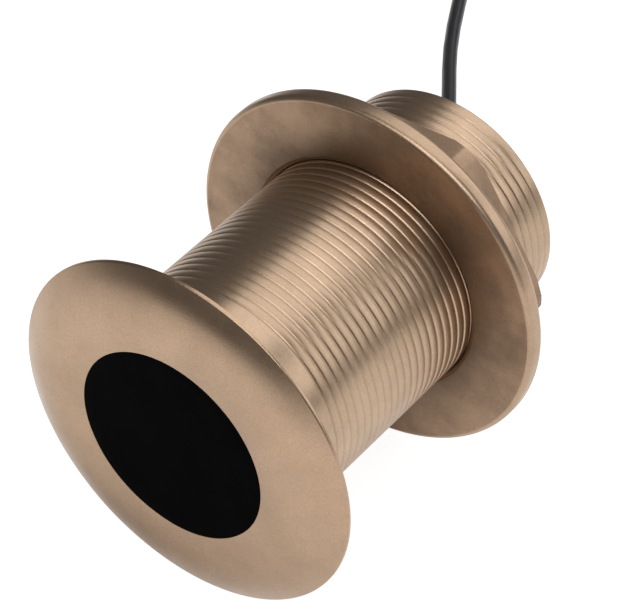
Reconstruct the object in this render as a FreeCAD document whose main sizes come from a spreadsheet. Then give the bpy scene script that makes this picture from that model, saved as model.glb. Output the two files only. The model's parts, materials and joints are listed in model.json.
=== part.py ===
import FreeCAD, Part
import math
import os
import re

import Sketcher

# Through-hull sonar transducer: a bronze housing with a domed flange and a
# threaded stem, its hull nut, the sensing stack behind a black window, and
# the cable with its plug. Lengths in millimetres, angles in degrees.
# Each piece of the transducer is drawn about the stem's axis, with the window's
# face at zero and the stem's end up, and then laid down on the two rims.

SIZES = {
    "stem_radius": 47.0,
    "stem_length": 165.0,
    "stem_wall": 7.0,
    "stem_end_chamfer": 1.5,
    "relief_depth": 1.6,
    "relief_width": 5.0,
    "flange_radius": 70.0,
    "flange_flat_radius": 48.0,
    "flange_rise": 7.3,
    "flange_rim_width": 1.0,
    "undercut_width": 2.0,
    "undercut_depth": 0.5,
    "relief_chamfer": 1.5,
    "window_ledge": 1.5,
    "window_lip": 4.0,
    "window_depth": 9.0,
    "fit_gap": 0.1,
    "sleeve_thickness": 5.8,
    "layer_thickness": 2.5,
    "element_thickness": 11.0,
    "backing_thickness": 6.0,
    "lead_radius": 0.9,
    "lead_spacing": 10.0,
    "channel_radius": 9.0,
    "well_depth": 22.0,
    "well_radius": 27.0,
    "core_outer_radius": 23.0,
    "core_inner_radius": 12.0,
    "core_height": 16.0,
    "board_depth": 16.0,
    "board_radius": 30.0,
    "board_thickness": 1.6,
    "terminal_count": 4,
    "terminal_circle": 18.0,
    "terminal_radius": 1.5,
    "terminal_height": 2.5,
    "seal_thickness": 7.0,
    "seal_recess": 8.0,
    "nut_front": 111.0,
    "nut_length": 26.0,
    "nut_flange_radius": 73.6,
    "nut_flange_thickness": 7.5,
    "nut_rim_round": 2.2,
    "nut_across_flats": 109.0,
    "nut_corner_radius": 61.5,
    "nut_chamfer": 1.4,
    "nut_clearance": 0.3,
    "nut_countersink": 1.6,
    "nut_corner_angle": -1.0,
    "cable_diameter": 6.6,
    "collar_radius": 9.0,
    "collar_thickness": 4.0,
    "neck_radius": 6.0,
    "boot_root_radius": 8.0,
    "boot_tip_radius": 4.4,
    "boot_flare": 5.0,
    "boot_length": 12.0,
    "coil_mean_radius": 59.4,
    "coil_columns": 7,
    "coil_rows": 4,
    "tie_width": 10.0,
    "tie_thickness": 0.8,
    "tie_play": 0.5,
    "plug_boot_length": 18.0,
    "plug_boot_radius": 6.5,
    "plug_radius": 8.6,
    "plug_length": 26.0,
    "plug_wall": 1.4,
    "socket_depth": 11.0,
    "ring_radius": 11.0,
    "ring_length": 15.0,
    "ring_overhang": 2.0,
    "ring_lip": 2.0,
    "plug_collar": 0.9,
    "contact_count": 6,
    "contact_circle": 4.4,
    "contact_radius": 0.9,
    "contact_bore": 0.5,
    "contact_length": 8.0,
    "washer_thickness": 1.2,
}

# The cable's route from the strain relief to the coil. It droops to the floor
# behind the stem and then runs straight back.
CABLE_ROUTE = [
    (0.0, 102.5, 75.8),
    (-3.7, 118.3, 70.6),
    (-12.2, 131.7, 58.4),
    (-26.1, 139.2, 39.2),
    (-40.5, 150.8, 22.3),
    (-55.5, 168.0, 10.9),
    (-71.0, 189.8, 4.6),
    (-87.6, 212.2, 3.3),
    (-119.3, 260.4, 3.3),
    (-157.9, 342.9, 4.0),
]
COIL_CENTRE = (-108.2, 412.7)
# The cable's short tail from the coil to the plug, less its last point, which
# is the plug's own back end.
TAIL_ROUTE = [
    (-56.4, 480.9, 20.8),
    (-41.5, 478.3, 17.5),
    (-26.0, 475.6, 11.6),
]
PLUG_BACK = (-9.0, 472.6, 11.0)
PLUG_HEADING = -10.0
TIE_ANGLES = (20.0, 150.0, 270.0)
BEND_SHARE = 0.45

doc = FreeCAD.newDocument("sonar_transducer")
sheet = doc.addObject("Spreadsheet::Sheet", "dims")
for row, (alias, value) in enumerate(SIZES.items(), start=1):
    sheet.set("A%d" % row, alias)
    sheet.set("B%d" % row, str(value))
    sheet.setAlias("B%d" % row, alias)
doc.recompute()


def size(alias):
    """The number in one of the sheet's cells."""
    return float(sheet.get(alias))


def cells(text):
    """An expression in the sheet's aliases, as the document reads it."""
    return re.sub(r"[a-z_]+", lambda word: "dims." * (word.group() in SIZES) + word.group(), text)


def number(text):
    """The present value of an expression in the sheet's aliases."""
    value = sheet.evalExpression(cells(text))
    return float(getattr(value, "Value", value))


def own_plane(body, role):
    """One of the body's own origin planes."""
    return next(item for item in body.Origin.OriginFeatures if item.Role == role)


def new_body(label):
    """An empty body with its label."""
    body = doc.addObject("PartDesign::Body", label)
    body.Label = label
    return body


def new_sketch(body, name, role):
    """A sketch on one of the body's own origin planes."""
    sketch = body.newObject("Sketcher::SketchObject", name)
    sketch.AttachmentSupport = (own_plane(body, role), [""])
    sketch.MapMode = "FlatFace"
    return sketch


def bind(sketch, kind, ends, text, name):
    """A dimension of the sketch, tied to the sheet."""
    if text == "0":
        axis = -2 if kind == "DistanceX" else -1
        sketch.addConstraint(Sketcher.Constraint("PointOnObject", ends[0], ends[1], axis))
        return
    index = sketch.addConstraint(Sketcher.Constraint(kind, -1, 1, ends[0], ends[1], number(text)))
    sketch.renameConstraint(index, name)
    sketch.setExpression("Constraints." + name, cells(text))


def rounded(start, heading, end):
    """An arc from start to end that leaves start along heading."""
    chord = end - start
    normal = FreeCAD.Vector(-heading.y, heading.x, 0)
    radius = chord.dot(chord) / (2 * chord.dot(normal))
    centre = start + normal * radius
    middle = start + chord * 0.5 - centre
    middle.normalize()
    return Part.Arc(start, centre + middle * abs(radius), end)


def outline(body, name, corners, role="XZ_Plane"):
    """A closed outline. A corner is (across, along), and a third entry "round" makes
    the edge that leaves it an arc, tangent to the edge before."""
    sketch = new_sketch(body, name, role)
    points = [FreeCAD.Vector(number(corner[0]), number(corner[1]), 0) for corner in corners]
    ends = []
    heading = None
    for index, corner in enumerate(corners):
        start = points[index]
        end = points[(index + 1) % len(points)]
        if len(corner) == 3:
            edge = sketch.addGeometry(rounded(start, heading, end), False)
            forward = (sketch.Geometry[edge].StartPoint - start).Length < 1e-6
            ends.append((edge, 1, 2) if forward else (edge, 2, 1))
        else:
            edge = sketch.addGeometry(Part.LineSegment(start, end), False)
            ends.append((edge, 1, 2))
        heading = end - start
        heading.normalize()
    for index, corner in enumerate(corners):
        before = ends[index - 1]
        here = ends[index]
        kind = "Tangent" if len(corner) == 3 else "Coincident"
        sketch.addConstraint(Sketcher.Constraint(kind, before[0], before[2], here[0], here[1]))
        bind(sketch, "DistanceX", here, corner[0], "across_%d" % index)
        bind(sketch, "DistanceY", here, corner[1], "along_%d" % index)
    return sketch


def turned(label, corners):
    """A body turned about its own axis from one outline."""
    body = new_body(label)
    sketch = outline(body, label + "_outline", corners)
    turning = body.newObject("PartDesign::Revolution", label + "_turned")
    turning.Profile = sketch
    turning.ReferenceAxis = (sketch, ["V_Axis"])
    turning.Angle = 360
    return body


def washer_like(label, inner, outer, low, high):
    """A turned piece with a square section. An inner radius of 0 makes it a disc."""
    return turned(label, [(inner, low), (outer, low), (outer, high), (inner, high)])


def circle_at(sketch, across, along, radius, name):
    """A full circle in a sketch, with its centre and radius tied to the sheet."""
    centre = FreeCAD.Vector(number(across), number(along), 0)
    index = sketch.addGeometry(Part.Circle(centre, FreeCAD.Vector(0, 0, 1), number(radius)), False)
    bind(sketch, "DistanceX", (index, 3), across, name + "_across")
    bind(sketch, "DistanceY", (index, 3), along, name + "_along")
    spot = sketch.addConstraint(Sketcher.Constraint("Radius", index, number(radius)))
    sketch.renameConstraint(spot, name + "_radius")
    sketch.setExpression("Constraints." + name + "_radius", cells(radius))


def raised(sketch, height):
    """Lift a sketch off its plane by an expression."""
    sketch.setExpression("AttachmentOffset.Base.z", cells(height))


def pad(body, sketch, name, length):
    """Extrude a sketch upwards."""
    feature = body.newObject("PartDesign::Pad", name)
    feature.Profile = sketch
    feature.setExpression("Length", cells(length))
    return feature


def ring_of(body, feature, name, count):
    """Repeat a feature round the body's axis."""
    pattern = body.newObject("PartDesign::PolarPattern", name)
    pattern.Originals = [feature]
    pattern.Axis = (next(item for item in body.Origin.OriginFeatures if item.Role == "Z_Axis"), [""])
    pattern.Angle = 360
    pattern.setExpression("Occurrences", cells(count))
    body.Tip = pattern
    return pattern


BORE = "stem_radius - stem_wall"
IN_BORE = BORE + " - fit_gap"
WINDOW_RADIUS = BORE + " - window_ledge"
STACK_START = "window_depth + fit_gap"
ELEMENT_START = STACK_START + " + layer_thickness"
BACKING_START = ELEMENT_START + " + element_thickness"
STACK_END = BACKING_START + " + backing_thickness"
FLANGE_BACK = "flange_rise + flange_rim_width"
UNDERCUT = FLANGE_BACK + " - undercut_depth"
SEAL_TOP = "stem_length - seal_recess"
SEAL_FLOOR = SEAL_TOP + " - seal_thickness"
BOARD_FLOOR = SEAL_FLOOR + " - board_depth"
WELL_FLOOR = BOARD_FLOOR + " - well_depth"
ELEMENT_RADIUS = IN_BORE + " - sleeve_thickness - fit_gap"
BOARD_TOP = BOARD_FLOOR + " + fit_gap + board_thickness"
POST_TOP = BOARD_TOP + " + terminal_height"
COLLAR_TOP = SEAL_FLOOR + " - fit_gap"
COLLAR_BOTTOM = COLLAR_TOP + " - collar_thickness"
BOOT_START = SEAL_TOP + " + fit_gap"
NUT_FLANGE_BACK = "nut_front + nut_flange_thickness"
NUT_END = "nut_front + nut_length"
NUT_BORE = "stem_radius + nut_clearance"
HEXAGON_SIDES = 6


def make_housing():
    """The bronze casting: domed flange, undercut and relief at the stem's root, stem,
    bore and front lip."""
    return turned("housing", [
        (WINDOW_RADIUS, "0"),
        ("flange_flat_radius", "0", "round"),
        ("flange_radius", "flange_rise"),
        ("flange_radius", FLANGE_BACK),
        ("stem_radius + undercut_width", FLANGE_BACK),
        ("stem_radius + undercut_width", UNDERCUT),
        ("stem_radius - relief_depth + relief_chamfer", UNDERCUT),
        ("stem_radius - relief_depth", UNDERCUT + " + relief_chamfer"),
        ("stem_radius - relief_depth", FLANGE_BACK + " + relief_width"),
        ("stem_radius", FLANGE_BACK + " + relief_width + relief_depth"),
        ("stem_radius", "stem_length - stem_end_chamfer"),
        ("stem_radius - stem_end_chamfer", "stem_length"),
        (BORE, "stem_length"),
        (BORE, "window_lip"),
        (WINDOW_RADIUS, "window_lip"),
    ])


def make_window():
    """The black window, cast in from behind and keyed under the bronze lip."""
    return turned("acoustic_window", [
        ("0", "0"),
        (WINDOW_RADIUS + " - fit_gap", "0"),
        (WINDOW_RADIUS + " - fit_gap", "window_lip + fit_gap"),
        (IN_BORE, "window_lip + fit_gap"),
        (IN_BORE, "window_depth"),
        ("0", "window_depth"),
    ])


def make_stack():
    """What makes and hears the sound: matching layer, ceramic, backing, and the
    sleeve that keeps them off the bronze."""
    layer = washer_like("matching_layer", "0", ELEMENT_RADIUS, STACK_START, ELEMENT_START)
    element = washer_like("piezo_element", "0", ELEMENT_RADIUS,
                          ELEMENT_START + " + fit_gap", BACKING_START)
    backing = washer_like("backing_disc", "0", ELEMENT_RADIUS,
                          BACKING_START + " + fit_gap", STACK_END)
    sleeve = washer_like("isolation_sleeve", IN_BORE + " - sleeve_thickness", IN_BORE,
                         STACK_START, STACK_END)
    holes = new_sketch(backing, "lead_holes", "XY_Plane")
    raised(holes, STACK_END)
    for side, name in ((1, "right"), (-1, "left")):
        across = "lead_spacing / 2" if side > 0 else "-lead_spacing / 2"
        circle_at(holes, across, "0", "lead_radius + fit_gap", name)
    doc.recompute()
    pocket = backing.newObject("PartDesign::Pocket", "lead_passages")
    pocket.Profile = holes
    pocket.setExpression("Length", cells("backing_thickness"))
    return [layer, element, backing, sleeve]


def make_fill():
    """The potting behind the stack, with the wires' channel, the transformer's well
    and the step that carries the terminal board."""
    return turned("rear_fill", [
        ("channel_radius", STACK_END + " + fit_gap"),
        (IN_BORE, STACK_END + " + fit_gap"),
        (IN_BORE, SEAL_FLOOR + " - fit_gap"),
        ("board_radius + fit_gap", SEAL_FLOOR + " - fit_gap"),
        ("board_radius + fit_gap", BOARD_FLOOR),
        ("well_radius", BOARD_FLOOR),
        ("well_radius", WELL_FLOOR),
        ("channel_radius", WELL_FLOOR),
    ])


def make_leads():
    """The two wires from the ceramic's back up to the terminal board."""
    body = new_body("element_leads")
    sketch = new_sketch(body, "lead_sections", "XY_Plane")
    raised(sketch, BACKING_START + " + fit_gap")
    circle_at(sketch, "lead_spacing / 2", "0", "lead_radius", "right")
    circle_at(sketch, "-lead_spacing / 2", "0", "lead_radius", "left")
    pad(body, sketch, "leads", BOARD_FLOOR + " - (" + BACKING_START + ") - fit_gap")
    return body


def make_core():
    """The ring of the matching transformer, wound and dipped, round the wires."""
    return washer_like("matching_transformer", "core_inner_radius", "core_outer_radius",
                       WELL_FLOOR + " + fit_gap", WELL_FLOOR + " + fit_gap + core_height")


def make_board():
    """The round board that the wires are soldered to, and its posts."""
    board = washer_like("terminal_board", "0", "board_radius", BOARD_FLOOR + " + fit_gap", BOARD_TOP)
    posts = new_body("terminal_posts")
    sketch = new_sketch(posts, "post_section", "XY_Plane")
    raised(sketch, BOARD_TOP)
    circle_at(sketch, "terminal_circle", "0", "terminal_radius", "post")
    post = pad(posts, sketch, "post", "terminal_height")
    doc.recompute()
    ring_of(posts, post, "post_ring", "terminal_count")
    return [board, posts]


def make_conductors():
    """The cable's cores, spread from the collar to the posts, as one group."""
    reach = size("terminal_circle") - size("neck_radius") / 2
    end_gap = "fit_gap + lead_radius"
    drop = number("(%s) - (%s) - 2 * (%s)" % (COLLAR_BOTTOM, POST_TOP, end_gap))
    lean = math.degrees(math.atan2(reach, drop))
    cores = []
    for index in range(int(size("terminal_count"))):
        core = doc.addObject("Part::Cylinder", "core_%d" % index)
        core.setExpression("Radius", cells("lead_radius"))
        core.Height = math.hypot(reach, drop)
        turn = FreeCAD.Rotation(FreeCAD.Vector(0, 0, 1), 360.0 * index / size("terminal_count"))
        tip = FreeCAD.Rotation(FreeCAD.Vector(0, 1, 0), -lean)
        foot = turn.multVec(FreeCAD.Vector(size("terminal_circle"), 0, 0))
        foot.z = number(POST_TOP + " + " + end_gap)
        core.Placement = FreeCAD.Placement(foot, turn.multiply(tip))
        cores.append(core)
    group = doc.addObject("Part::Compound", "cable_cores")
    group.Label = "cable_cores"
    group.Links = cores
    return group


def make_seal():
    """The black potting that closes the stem round the cable."""
    return washer_like("end_seal", "neck_radius + fit_gap", IN_BORE, SEAL_FLOOR, SEAL_TOP)


def make_strain_relief():
    """The moulded boot: collar under the seal, neck through it, flare and taper."""
    return turned("strain_relief", [
        ("0", COLLAR_BOTTOM),
        ("collar_radius", COLLAR_BOTTOM),
        ("collar_radius", COLLAR_TOP),
        ("neck_radius", COLLAR_TOP),
        ("neck_radius", BOOT_START),
        ("boot_root_radius", BOOT_START),
        ("boot_root_radius", BOOT_START + " + boot_flare"),
        ("boot_tip_radius", BOOT_START + " + boot_length"),
        ("0", BOOT_START + " + boot_length"),
    ])


def make_nut():
    """The hull nut: washer flange with a rounded rim, and six flats behind it."""
    nut = turned("hull_nut", [
        (NUT_BORE + " + nut_countersink", "nut_front"),
        ("nut_flange_radius - nut_rim_round", "nut_front", "round"),
        ("nut_flange_radius", "nut_front + nut_rim_round"),
        ("nut_flange_radius", NUT_FLANGE_BACK + " - nut_rim_round", "round"),
        ("nut_flange_radius - nut_rim_round", NUT_FLANGE_BACK),
        ("nut_corner_radius", NUT_FLANGE_BACK),
        ("nut_corner_radius", NUT_END + " - nut_chamfer"),
        ("nut_corner_radius - nut_chamfer", NUT_END),
        (NUT_BORE + " + nut_countersink", NUT_END),
        (NUT_BORE, NUT_END + " - nut_countersink"),
        (NUT_BORE, "nut_front + nut_countersink"),
    ])
    doc.recompute()
    flats = new_sketch(nut, "flats", "XY_Plane")
    raised(flats, NUT_END)
    circle_at(flats, "0", "0", "nut_flange_radius + nut_rim_round", "clear")
    add_hexagon(flats, "nut_across_flats", "nut_corner_angle")
    cut = nut.newObject("PartDesign::Pocket", "flats_cut")
    cut.Profile = flats
    cut.setExpression("Length", cells("nut_length - nut_flange_thickness"))
    return nut


def add_hexagon(sketch, across_flats, first_angle):
    """A hexagon round the sketch's origin, with its first corner at an angle."""
    first_edge = sketch.GeometryCount
    corners = []
    for index in range(HEXAGON_SIDES):
        turn = "(%d + %s)" % (360 / HEXAGON_SIDES * index, first_angle)
        reach = "%s / 2 / cos(180 / %d)" % (across_flats, HEXAGON_SIDES)
        corners.append((reach + " * cos" + turn, reach + " * sin" + turn))
    spots = [FreeCAD.Vector(number(across), number(along), 0) for across, along in corners]
    for index in range(HEXAGON_SIDES):
        sketch.addGeometry(Part.LineSegment(spots[index - 1], spots[index]), False)
    for index, (across, along) in enumerate(corners):
        edge = first_edge + index
        after = first_edge + (index + 1) % HEXAGON_SIDES
        sketch.addConstraint(Sketcher.Constraint("Coincident", edge, 2, after, 1))
        bind(sketch, "DistanceX", (edge, 2), across, "corner_across_%d" % index)
        bind(sketch, "DistanceY", (edge, 2), along, "corner_along_%d" % index)


def tube(label, points):
    """A cord's tube: straight runs joined by tangent arcs, as large as the runs allow."""
    points = [FreeCAD.Vector(*point) for point in points]
    edges = []
    here = points[0]
    for index in range(1, len(points) - 1):
        corner = points[index]
        back = points[index - 1] - corner
        ahead = points[index + 1] - corner
        trim = BEND_SHARE * min(back.Length, ahead.Length)
        back.normalize()
        ahead.normalize()
        turn = math.pi - back.getAngle(ahead)
        radius = trim / math.tan(turn / 2)
        print("%s bend %d: %.0f degrees, radius %.1f" % (label, index, math.degrees(turn), radius))
        first = corner + back * trim
        last = corner + ahead * trim
        inward = back + ahead
        inward.normalize()
        middle = corner + inward * (radius / math.cos(turn / 2) - radius)
        edges.append(Part.LineSegment(here, first).toShape())
        edges.append(Part.Arc(first, middle, last).toShape())
        here = last
    edges.append(Part.LineSegment(here, points[-1]).toShape())
    path = Part.Wire(edges)
    heading = points[1] - points[0]
    section = Part.Circle(points[0], heading, size("cable_diameter") / 2)
    solid = path.makePipeShell([Part.Wire([section.toShape()])], True, False)
    expected = math.pi * size("cable_diameter") ** 2 / 4 * path.Length
    print("%s: length %.1f, volume %.0f, section times length %.0f"
          % (label, path.Length, solid.Volume, expected))
    piece = doc.addObject("Part::Feature", label)
    piece.Label = label
    piece.Shape = solid
    return piece


HALF_COIL = "coil_columns * cable_diameter / 2"
COIL_HEIGHT = "cable_diameter * (1 + (coil_rows - 1) * cos(30))"
COIL_BASE = "tie_thickness + 2 * fit_gap"


def make_coil():
    """The coil's outer shape, in its place on the floor."""
    coil = washer_like("cable_coil", "coil_mean_radius - " + HALF_COIL, "coil_mean_radius + " + HALF_COIL,
                       COIL_BASE, COIL_BASE + " + " + COIL_HEIGHT)
    centre = FreeCAD.Vector(COIL_CENTRE[0], COIL_CENTRE[1], 0)
    coil.Placement = FreeCAD.Placement(centre, FreeCAD.Rotation())
    return coil


def strap_block(name, play, low, high):
    """A block round the coil's section, with play at its two sides."""
    block = doc.addObject("Part::Box", name)
    block.setExpression("Length", cells("2 * (%s + %s)" % (HALF_COIL, play)))
    block.setExpression("Width", cells("tie_width"))
    block.setExpression("Height", cells("%s - (%s)" % (high, low)))
    block.setExpression("Placement.Base.x", cells("coil_mean_radius - (%s) - (%s)" % (HALF_COIL, play)))
    block.setExpression("Placement.Base.y", cells("-tie_width / 2"))
    block.setExpression("Placement.Base.z", cells(low))
    return block


def make_tie(index, angle):
    """A flat strap round the coil's section, one end of it under the coil."""
    name = "coil_tie_%d" % index
    top = COIL_BASE + " + " + COIL_HEIGHT + " + tie_play"
    tie = doc.addObject("Part::Cut", name)
    tie.Label = name
    tie.Base = strap_block(name + "_outside", "tie_play + tie_thickness", "0", top + " + tie_thickness")
    tie.Tool = strap_block(name + "_inside", "tie_play", "tie_thickness", top)
    centre = FreeCAD.Vector(COIL_CENTRE[0], COIL_CENTRE[1], 0)
    tie.Placement = FreeCAD.Placement(centre, FreeCAD.Rotation(FreeCAD.Vector(0, 0, 1), angle))
    return tie


PLUG_START = "plug_boot_length + fit_gap"
PLUG_END = PLUG_START + " + plug_length"
SOCKET_RADIUS = "plug_radius - plug_wall"
SOCKET_FLOOR = PLUG_END + " - socket_depth"
RING_END = PLUG_END + " + ring_overhang"
RING_START = RING_END + " - ring_length"
RING_BORE = "plug_radius + plug_collar + fit_gap"


def make_plug():
    """The plug: boot, shell with a collar, coupling ring held behind the collar,
    insert with its contacts, and face washer."""
    boot = turned("plug_boot", [
        ("0", "0"),
        ("boot_tip_radius", "0"),
        ("plug_boot_radius", "plug_boot_length - boot_flare"),
        ("plug_boot_radius", "plug_boot_length"),
        ("0", "plug_boot_length"),
    ])
    collar_start = RING_START + " + ring_lip + fit_gap"
    shell = turned("plug_shell", [
        ("0", PLUG_START),
        ("plug_radius", PLUG_START),
        ("plug_radius", collar_start),
        ("plug_radius + plug_collar", collar_start),
        ("plug_radius + plug_collar", collar_start + " + ring_lip"),
        ("plug_radius", collar_start + " + ring_lip"),
        ("plug_radius", PLUG_END),
        (SOCKET_RADIUS, PLUG_END),
        (SOCKET_RADIUS, SOCKET_FLOOR),
        ("0", SOCKET_FLOOR),
    ])
    ring = turned("coupling_ring", [
        ("plug_radius + fit_gap", RING_START),
        ("ring_radius", RING_START),
        ("ring_radius", RING_END),
        (RING_BORE, RING_END),
        (RING_BORE, RING_START + " + ring_lip"),
        ("plug_radius + fit_gap", RING_START + " + ring_lip"),
    ])
    insert = washer_like("plug_insert", "0", SOCKET_RADIUS + " - fit_gap",
                         SOCKET_FLOOR + " + fit_gap", PLUG_END)
    doc.recompute()
    mouths = new_sketch(insert, "contact_mouths", "XY_Plane")
    raised(mouths, PLUG_END)
    circle_at(mouths, "contact_circle", "0", "contact_radius + fit_gap", "mouth")
    hole = insert.newObject("PartDesign::Pocket", "contact_hole")
    hole.Profile = mouths
    hole.setExpression("Length", cells("contact_length + fit_gap"))
    doc.recompute()
    ring_of(insert, hole, "contact_holes", "contact_count")
    washer = washer_like("plug_washer", SOCKET_RADIUS, "plug_radius", PLUG_END + " + fit_gap",
                         PLUG_END + " + fit_gap + washer_thickness")
    contacts = new_body("contact_sockets")
    sketch = new_sketch(contacts, "contact_section", "XY_Plane")
    raised(sketch, PLUG_END + " - contact_length")
    circle_at(sketch, "contact_circle", "0", "contact_radius", "outside")
    circle_at(sketch, "contact_circle", "0", "contact_bore", "inside")
    contact = pad(contacts, sketch, "contact", "contact_length")
    doc.recompute()
    ring_of(contacts, contact, "contact_ring", "contact_count")
    heading = FreeCAD.Rotation(FreeCAD.Vector(0, 0, 1), PLUG_HEADING)
    lying = heading.multiply(FreeCAD.Rotation(FreeCAD.Vector(0, 1, 0), 90))
    pieces = [boot, shell, ring, insert, washer, contacts]
    for piece in pieces:
        piece.Placement = FreeCAD.Placement(FreeCAD.Vector(*PLUG_BACK), lying)
    return pieces


def laid_down(housing):
    """The placement that lays the stem's axis along Y, with the flange's rim and the
    nut's rim both on the floor, and the transducer centred over the origin."""
    front = FreeCAD.Vector(size("flange_rise"), size("flange_radius"), 0)
    round_centre = FreeCAD.Vector(number(NUT_FLANGE_BACK + " - nut_rim_round"),
                                  number("nut_flange_radius"), 0)
    span = round_centre - front
    tilt = math.atan2(span.y, span.x)
    height = front.y * math.cos(tilt) - front.x * math.sin(tilt)
    turn = FreeCAD.Rotation(FreeCAD.Vector(1, 0, 0), math.degrees(tilt) - 90)
    trial = housing.Shape.copy()
    trial.Placement = FreeCAD.Placement(FreeCAD.Vector(0, 0, 0), turn)
    box = trial.optimalBoundingBox()
    print("tilt %.3f degrees, stem axis %.2f above the floor at the face" % (math.degrees(tilt), height))
    return FreeCAD.Placement(FreeCAD.Vector(0, -(box.YMin + box.YMax) / 2, height), turn)


housing = make_housing()
window = make_window()
stack = make_stack()
fill = make_fill()
leads = make_leads()
core = make_core()
board = make_board()
conductors = make_conductors()
seal = make_seal()
strain_relief = make_strain_relief()
nut = make_nut()
coil = make_coil()
ties = [make_tie(index + 1, angle) for index, angle in enumerate(TIE_ANGLES)]
plug = make_plug()
doc.recompute()

lying = laid_down(housing)
fixed = [housing, window] + stack + [fill, leads, core] + board + [conductors, seal, strain_relief, nut]
for piece in fixed:
    piece.Placement = lying
boot_tip = lying.multVec(FreeCAD.Vector(0, 0, number(BOOT_START + " + boot_length")))
print("strain relief ends at %.2f, %.2f, %.2f" % tuple(boot_tip))
cable = tube("cable", [tuple(boot_tip)] + CABLE_ROUTE)
tail = tube("cable_tail", TAIL_ROUTE + [PLUG_BACK])
doc.recompute()

nodes = fixed + [cable, coil] + ties + [tail] + plug
for item in doc.Objects:
    if "Invalid" in item.State or "Error" in item.State:
        raise RuntimeError("%s did not build: %s" % (item.Name, item.State))
for node in nodes:
    if node.Shape.isNull() or not node.Shape.isValid():
        raise RuntimeError("%s has no valid shape" % node.Label)

os.makedirs("parts", exist_ok=True)
for node in nodes:
    node.Shape.exportStep("parts/%s.step" % node.Label)
    print("%-22s solids %d  volume %12.1f" % (node.Label, len(node.Shape.Solids), node.Shape.Volume))
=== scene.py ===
import json
import math

import bmesh
import bpy
from mathutils import Matrix, Vector


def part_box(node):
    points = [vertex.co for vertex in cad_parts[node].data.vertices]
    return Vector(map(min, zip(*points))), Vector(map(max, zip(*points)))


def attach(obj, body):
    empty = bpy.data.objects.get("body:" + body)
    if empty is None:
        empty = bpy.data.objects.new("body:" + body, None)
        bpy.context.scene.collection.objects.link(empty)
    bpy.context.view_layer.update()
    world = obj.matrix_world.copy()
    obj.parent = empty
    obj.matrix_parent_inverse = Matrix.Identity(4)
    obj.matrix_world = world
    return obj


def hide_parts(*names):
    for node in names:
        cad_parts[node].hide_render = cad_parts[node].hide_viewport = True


# The looks of a bronze through-hull sonar transducer: turned and blasted bronze,
# its thread, the black window, the potted end and the coiled cable. Lengths are
# in metres. Turned pieces are drawn about the stem's own axis, with the window's
# face at zero, and laid down with the frame.

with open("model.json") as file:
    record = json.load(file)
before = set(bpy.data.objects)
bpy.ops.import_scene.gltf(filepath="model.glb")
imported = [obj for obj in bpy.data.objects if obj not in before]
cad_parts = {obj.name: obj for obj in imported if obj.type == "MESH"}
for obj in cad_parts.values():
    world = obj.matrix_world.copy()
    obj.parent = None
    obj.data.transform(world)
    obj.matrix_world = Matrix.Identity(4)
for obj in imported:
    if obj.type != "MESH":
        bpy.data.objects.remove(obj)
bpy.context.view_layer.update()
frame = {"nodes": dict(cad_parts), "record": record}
record = frame["record"]
mounts = {mount["name"]: mount for mount in record["mounts"]}
joints = {joint["name"]: joint for joint in record["behaviour"]["joints"]}

MM = 0.001

# The stem's frame, from the record: X to the right, Y down, Z along the stem.
STEM_MOUNT_ALONG = 63.0 * MM
AXIS = Vector(joints["nut_travel"]["axis"]).normalized()
FACE = Vector(mounts["hull_stem"]["pos_m"]) - AXIS * STEM_MOUNT_ALONG
RIGHT = Vector((1, 0, 0))
DOWN = AXIS.cross(RIGHT)
STEM = Matrix.Translation(FACE) @ Matrix((RIGHT, DOWN, AXIS)).transposed().to_4x4()

# The housing: radii from the stem's axis, and places along it from the face.
STEM_RADIUS = mounts["hull_stem"]["dims"]["r_mm"] * MM
STEM_LENGTH = 165.0 * MM
STEM_END_CHAMFER = 1.5 * MM
BORE_RADIUS = 40.0 * MM
RELIEF_RADIUS = 45.4 * MM
RELIEF_CHAMFER = 1.5 * MM
RELIEF_END = 5.0 * MM
UNDERCUT_WIDTH = 2.0 * MM
UNDERCUT_DEPTH = 0.5 * MM
FLANGE_RADIUS = 70.0 * MM
FLANGE_FLAT = 48.0 * MM
FLANGE_RISE = 7.3 * MM
FLANGE_BACK = 8.3 * MM
FLANGE_RIM_LAND = 0.2 * MM
FLANGE_RIM_ROUND = 2.0 * MM
FLANGE_RIM_STEPS = 8
DOME_STEPS = 14
EDGE = 0.25 * MM

# The window: its seat in the housing, and the disc, a hair under the bronze.
WINDOW_RADIUS = 38.5 * MM
WINDOW_LIP = 4.0 * MM
WINDOW_GAP = 0.1 * MM
WINDOW_BACK = 9.0 * MM
WINDOW_EDGE = 0.4 * MM
WINDOW_RINGS = 8

# The thread. At the angle zero a groove's middle lies at the phase, and a turn's
# middle with it. The rows lead in by a spare turn and that half. One pitch is given
# by how far along it, and how deep in parts of the groove, each point lies.
PITCH = 4.0 * MM
THREAD_START = 29.6 * MM
THREAD_END = 162.6 * MM
THREAD_FADE = 3.0 * MM
THREAD_PHASE = 32.2 * MM
THREAD_LEAD_TURNS = 1.5
GROOVE_DEPTH = 0.43 * MM
GROOVE = ((0.0, 0.0), (0.33, 0.05), (0.385, 0.22), (0.46, 1.0), (0.54, 1.0), (0.615, 0.22),
          (0.67, 0.05))

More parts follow.
